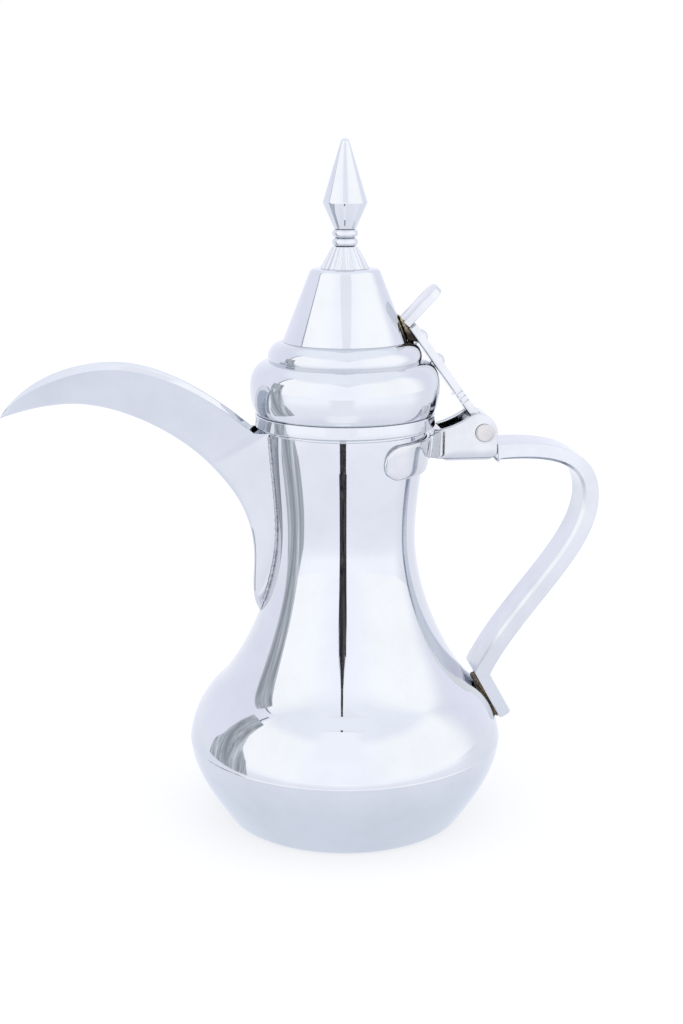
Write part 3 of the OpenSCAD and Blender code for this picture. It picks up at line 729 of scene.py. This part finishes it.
collar_rings = [fluted(h) for h in np.linspace(0, 1, 9)]
n_ring = len(collar_rings[0])
collar_rings += [plain_ring(bore, COLLAR_Z + COLLAR_H, n_ring), plain_ring(bore, COLLAR_Z, n_ring)]
collar_points = [p for r in collar_rings for p in r]
collar = build("collar_fluted", collar_points, bridge(collar_rings, True, True), radians(30))
finish_piece(collar, "finial_steel", "lid", "finial_collar")

BEADS_Z = COLLAR_Z + COLLAR_H + GAP
beads_path = np.vstack([arc((BEAD_R - BEAD_HALF, BEADS_Z + BEAD_HALF), BEAD_HALF, -90, 90, 28),
                        arc((BEAD_R - BEAD_HALF, BEADS_Z + 3 * BEAD_HALF), BEAD_HALF, -90, 90, 28)[1:],
                        [(bore, BEADS_Z + 4 * BEAD_HALF), (bore, BEADS_Z)]])
finish_piece(spin("bead_pair", beads_path, 144), "finial_steel", "lid", "finial_beads")

SPIRE_Z, TIP_Z, FINIAL_R = BEADS_Z + 4 * BEAD_HALF + GAP, 300, 9.6
wide_z = SPIRE_Z + 10.9
spire_path = np.vstack([fillet([(bore, SPIRE_Z), (4.6, SPIRE_Z), (FINIAL_R, wide_z), (2.2, TIP_Z - 2.4)],
                               [0, 0.3, 0.7, 0], 6, closed=False),
                        bez([(2.2, TIP_Z - 2.4), (1.8, TIP_Z - 0.7), (1.1, TIP_Z), (0, TIP_Z)], 12)[1:],
                        [(0, SPIRE_Z + 8), (bore, SPIRE_Z + 8)]])
finish_piece(spin("spire_skin", spire_path, 160, sharp=radians(30)), "finial_steel", "lid", "finial_spire")

# ---- Lever --------------------------------------------------------------------------------
LEVER_LEAN = 35.4
lever_frame = Matrix.Translation((PIN_X, 0, PIN_Z)) @ Matrix.Rotation(radians(-LEVER_LEAN), 4, "Y")
STRAP_IN, STRAP_T, STRAP_LEN, EYE_R, LEVER_W = 0.5, 3.7, 56.5, 5.2, 14
MARKS_AT, MARK_W, MARK_DEEP, MARK_IN = (15.4, 17.8, 20.2), 0.75, 0.7, 0.9
strap_out = STRAP_T - STRAP_IN
leave_out = np.degrees(asin(strap_out / EYE_R))
leave_in = np.degrees(asin(STRAP_IN / EYE_R))
eye = arc((0, 0), EYE_R, 90 + leave_in, 360 + 90 - leave_out, 60)
strap_end = fillet([(strap_out, STRAP_LEN - 6), (strap_out, STRAP_LEN), (-STRAP_IN, STRAP_LEN),
                    (-STRAP_IN, STRAP_LEN - 6)], [0, 0.4, 0.4, 0], 4, closed=False)
lever_side = np.vstack([eye, [(strap_out, 8), (strap_out, 30), (strap_out, 44)], strap_end,
                        [(-STRAP_IN, 30), (-STRAP_IN, 10)]])
lever = plate("lever_bar", lever_side, LEVER_W / 2, 0.7, 4, side_on(lever_frame))
pin_hole = spin("pin_tool", [(0, -9), (2.5, -9), (2.5, 9), (0, 9)], 64, along_pin)
cut(lever, pin_hole)
past = LEVER_W / 2 + 2
for along in MARKS_AT:
    top = along + MARK_W
    cut(lever, box((strap_out - MARK_DEEP, -past, along), (strap_out + 1, past, top), lever_frame))
    for side in (-1, 1):
        low, high = sorted((side * (LEVER_W / 2 - MARK_IN), side * past))
        cut(lever, box((-1, low, along), (strap_out + 1, high, top), lever_frame))
finish_piece(lever, "cast_steel", "lid", "lid_lever")

RIVETS_AT, RIVET_R, RIVET_H, SHANK_R, SHANK_LEN = (49.1, 36.3), 3.2, 1.9, 1.5, 6.9
ball = (RIVET_R ** 2 + RIVET_H ** 2) / (2 * RIVET_H)
sweep = np.degrees(asin(RIVET_R / ball))
cap = arc((0, RIVET_H - ball), ball, 90 - sweep, 90, 16)
cap[-1][0] = 0
rivet_profile = np.vstack([[(SHANK_R, GAP), (RIVET_R, GAP)], cap[1:],
                           [(0, -SHANK_LEN), (SHANK_R, -SHANK_LEN)]])


def rivet(along):
    """One rivet, with its head on the lever's outer face."""
    place = lever_frame @ Matrix.Translation((strap_out, 0, along)) @ Matrix.Rotation(radians(90), 4, "Y")
    return spin(f"rivet_{int(along)}", rivet_profile, 72, place)


rivets = join("rivet_pair", [rivet(along) for along in RIVETS_AT])
smooth(rivets.data)
finish_piece(rivets, "cast_steel", "lid", "lever_rivets")

TAB_LEN, TAB_W, TAB_T, TAB_CORNER, TAB_TILT = 21.5, 16, 3.6, 5.8, 11
tab_plan = fillet([(0.2, -TAB_W / 2), (TAB_LEN, -TAB_W / 2), (TAB_LEN, TAB_W / 2), (0.2, TAB_W / 2)],
                  [0.3, TAB_CORNER, TAB_CORNER, 0.3], 14)
tab_place = (lever_frame @ Matrix.Translation((-STRAP_IN, 0, STRAP_LEN + 0.1))
             @ Matrix.Rotation(radians(-TAB_TILT), 4, "Y") @ Matrix.Translation((0, 0, TAB_T / 2)))
finish_piece(plate("tab_plate", tab_plan, TAB_T / 2, 0.55, 4, tab_place), "cast_steel", "lid", "thumb_tab")


def strap_x(z):
    """Where the strap's inner face stands at a height."""
    return PIN_X - STRAP_IN / cos(radians(LEVER_LEAN)) - (z - PIN_Z) * tan(radians(LEVER_LEAN))


def cone_x(z):
    """The cone's outer radius at a height."""
    return CONE_R + (CONE_TOP_R - CONE_R) * (z - CONE_Z) / (CONE_TOP_Z - 1.7 - CONE_Z)


# This plate of braze fills the gap between the cone and the strap; its lower part takes the braze's painted
# shade, standing in for the shadowed gap.
run_low = [(cone_x(z), z) for z in (215.3, 219, 223, 226)] + [(strap_x(z), z) for z in (226, 223, 219, 214.5)]
braze_low = plate("braze_low", run_low, 5, 0.3, 2, side_on())
braze = lumps(cast("braze_fillet", [cad_copy("braze_copy", "lever_braze"), braze_low], 0.3, 3), 0.3, 1.4)
finish_piece(braze, "braze", "lid", "lever_braze")

for node in ("finial_stud", "finial_washer", "finial_nut"):
    part = frame["nodes"][node]
    part.data.materials.clear()
    part.data.materials.append(materials["zinc_hardware"])

# ---- Stage --------------------------------------------------------------------------------


def disc(name, z, shader):
    """A wide flat floor."""
    bpy.ops.mesh.primitive_circle_add(vertices=128, radius=4, fill_type="NGON", location=(0, 0, z))
    obj = bpy.context.object
    obj.name = name
    shader.principled.inputs["Specular IOR Level"].default_value = 0.0
    shader.principled.inputs["Emission Strength"].default_value = 1.0
    obj.data.materials.append(shader.material)
    return obj


def floor():
    """A pale floor, softly lit from below."""
    s = Shader("mat_stage_floor", (0.4, 0.4, 0.4), 0.9, 0.0)
    s.principled.inputs["Emission Color"].default_value = (0.60, 0.60, 0.61, 1)
    disc("stage_floor", 0, s).visible_glossy = False


def table():
    """The same floor as the steel sees it, glowing with painted light and shade: painted shadow in bluish
    grey round the pot, painted light white far out in front.
    """
    s = Shader("mat_stage_table", (0, 0, 0), 0.9, 0.0)
    away = s.node("ShaderNodeVectorMath", {0: s.place}, operation="LENGTH").outputs["Value"]
    split = s.node("ShaderNodeSeparateXYZ", {0: s.place}).outputs
    forward = s.math("DIVIDE", s.math("MULTIPLY", split[1], -1), away)
    soft = "SMOOTHSTEP"
    # Painted shadow close round the pot, and painted light that brightens the glow further out and most in
    # front.
    near = s.mix(s.ramp(away, 0.05, 0.12, 0, 1, soft), (0.84, 0.89, 0.985), (0.96, 0.985, 1.08))
    middle = s.mix(s.ramp(away, 0.15, 0.33, 0, 1, soft), near, (1.08, 1.085, 1.17))
    front = s.mix(s.ramp(away, 0.3, 0.95, 0, 1, soft), middle, (1.25, 1.26, 1.32))
    side = s.mix(s.ramp(away, 0.15, 0.5, 0, 1, soft), near, (1.0, 1.02, 1.10))
    s.set("Emission Color", s.mix(s.ramp(forward, -0.15, 0.3, 0, 1, soft), side, front))
    obj = disc("stage_table", 0.0001, s)
    obj.visible_camera = False
    obj.visible_diffuse = False
    obj.visible_shadow = False


def card(name, azimuth, distance, widths, shader):
    """An upright screen that only reflections see. widths: [half width, height] from the bottom up."""
    a = radians(azimuth)
    outline = list(widths) + [(-w, h) for w, h in reversed(widths)]
    mesh = bpy.data.meshes.new(name)
    mesh.from_pydata([(w * MM, 0, h * MM) for w, h in outline], [], [tuple(range(len(outline)))])
    obj = bpy.data.objects.new(name, mesh)
    bpy.context.collection.objects.link(obj)
    obj.location = Vector((sin(a), -cos(a), 0)) * distance * MM
    obj.rotation_euler = (0, 0, a)
    shader.principled.inputs["Specular IOR Level"].default_value = 0.0
    shader.principled.inputs["Emission Strength"].default_value = 1.0
    mesh.materials.append(shader.material)
    obj.visible_camera = False
    obj.visible_diffuse = False
    obj.visible_shadow = False


def mottled(name, dark, light, scale, stretch=(1, 1, 1)):
    """An uneven dark surface that gives its own faint light."""
    s = Shader(name, (0, 0, 0), 0.9, 0.0)
    amount = s.ramp(s.noise(scale, 4, stretch, rough=0.7), 0.42, 0.68, 0, 1)
    s.set("Emission Color", s.mix(amount, dark, light))
    return s


def glow(name, colour):
    """An evenly lit white surface."""
    s = Shader(name, (0, 0, 0), 0.9, 0.0)
    s.principled.inputs["Emission Color"].default_value = (*colour, 1)
    return s


def screen(name, azimuth, distance, half, low, high, colour, fade=0):
    """A screen that hides what stands behind it and fades out towards its sides and, over fade, its foot."""
    s = glow("mat_" + name, colour)
    split = s.node("ShaderNodeSeparateXYZ", {0: s.place}).outputs
    soft = "SMOOTHSTEP"
    sides = s.ramp(s.math("ABSOLUTE", split[0]), half * MM, 2.2 * half * MM, 1, 0, soft)
    if fade:
        sides = s.math("MULTIPLY", sides, s.ramp(split[2], (low - fade) * MM, low * MM, 0, 1, soft))
    s.set("Alpha", sides)
    card(name, azimuth, distance, [(2.2 * half, low - fade), (2.2 * half, high)], s)


def tent_corner():
    """Where two panels of the tent meet over the camera: a wedge that opens upward with soft edges."""
    s = glow("mat_tent_corner", (1.085, 1.10, 1.165))
    split = s.node("ShaderNodeSeparateXYZ", {0: s.place}).outputs
    edge = s.math("MULTIPLY_ADD", s.math("ABSOLUTE", split[0]), 1.15, 0.333)
    s.set("Alpha", s.ramp(s.math("SUBTRACT", split[2], edge), -0.004, 0.014, 0, 1, "SMOOTHSTEP"))
    card("tent_corner", -4, 250, [(150, 320), (150, 465)], s)


def world():
    """A bright screen in front and softer light above, behind and at the sides."""
    made = bpy.data.worlds.new("studio")
    made.use_nodes = True
    bpy.context.scene.world = made
    g = Graph(made.node_tree)
    way = g.node("ShaderNodeTexCoord").outputs["Generated"]
    split = g.node("ShaderNodeSeparateXYZ", {0: way}).outputs
    turned = g.math("MULTIPLY", g.math("ARCTAN2", split[0], g.math("MULTIPLY", split[1], -1)), degrees(1))
    height = g.math("MULTIPLY", g.math("ARCSINE", split[2]), degrees(1))
    soft = "SMOOTHSTEP"
    inside = g.math("MULTIPLY", g.ramp(turned, -98, -95, 0, 1, soft), g.ramp(turned, 84, 112, 1, 0, soft))
    middle = g.ramp(g.math("ABSOLUTE", g.math("ADD", turned, 9.6)), 8, 50, 1, 0, soft)
    bright = g.mix(middle, (1.31, 1.31, 1.31), (1.235, 1.245, 1.325))
    around = g.mix(inside, (1.0, 1.01, 1.125), bright)
    light = g.mix(g.ramp(height, 40, 55, 0, 1, soft), around, (1.11, 1.145, 1.22))
    made.node_tree.links.new(light, made.node_tree.nodes["Background"].inputs["Color"])
    made.node_tree.nodes["Background"].inputs["Strength"].default_value = 1.0


floor()
table()
world()
tent_corner()
gap_dark = ("mat_tent_gap", (0.02, 0.022, 0.028), (0.13, 0.12, 0.12), 160)
card("tent_gap_near", -9.6, 110,
     [(9, 102), (9, 126), (5.7, 127.5), (3.3, 128.6), (2, 131), (1.7, 150), (1.8, 165)], mottled(*gap_dark))
card("tent_gap_far", -9.6, 150, [(10.5, 107), (10.5, 152)], mottled(*gap_dark))
card("tent_edge", -98.5, 3000, [(37, 0), (37, 3500)], glow("mat_tent_edge", (0.08, 0.08, 0.09)))
screen("screen_low", -9.6, 80, 10, 62, 97, (1.2, 1.22, 1.28), 14)
screen("screen_high", -9.6, 80, 9, 162, 190, (1.08, 1.1, 1.17))
screen("screen_close", -9.2, 48, 6, 173.4, 184, (1.15, 1.16, 1.22))
card("tent_side", -92, 300, [(105, 0), (92, 60), (58, 110), (48, 180), (46, 300)],
     mottled("mat_tent_side", (0.34, 0.37, 0.41), (0.88, 0.92, 0.97), 1, (40, 1, 4)))

# ---- Camera -------------------------------------------------------------------------------
AZIMUTH, PITCH = radians(-7), radians(-13.4)
CAMERA_BACK, CAMERA_LEFT, CAMERA_Z = 0.708, 0.0015, 0.3078
back = Vector((sin(AZIMUTH), -cos(AZIMUTH), 0))
across = Vector((cos(AZIMUTH), sin(AZIMUTH), 0))
camera_data = bpy.data.cameras.new("camera")
camera_data.sensor_width = 36
camera_data.lens = 58.008
camera = bpy.data.objects.new("camera", camera_data)
camera.location = back * CAMERA_BACK - across * CAMERA_LEFT + Vector((0, 0, CAMERA_Z))
look = -back * cos(PITCH) + Vector((0, 0, sin(PITCH)))
camera.rotation_euler = look.to_track_quat("-Z", "Y").to_euler()
bpy.context.collection.objects.link(camera)
bpy.context.scene.camera = camera
bpy.context.scene.view_settings.view_transform = "Standard"
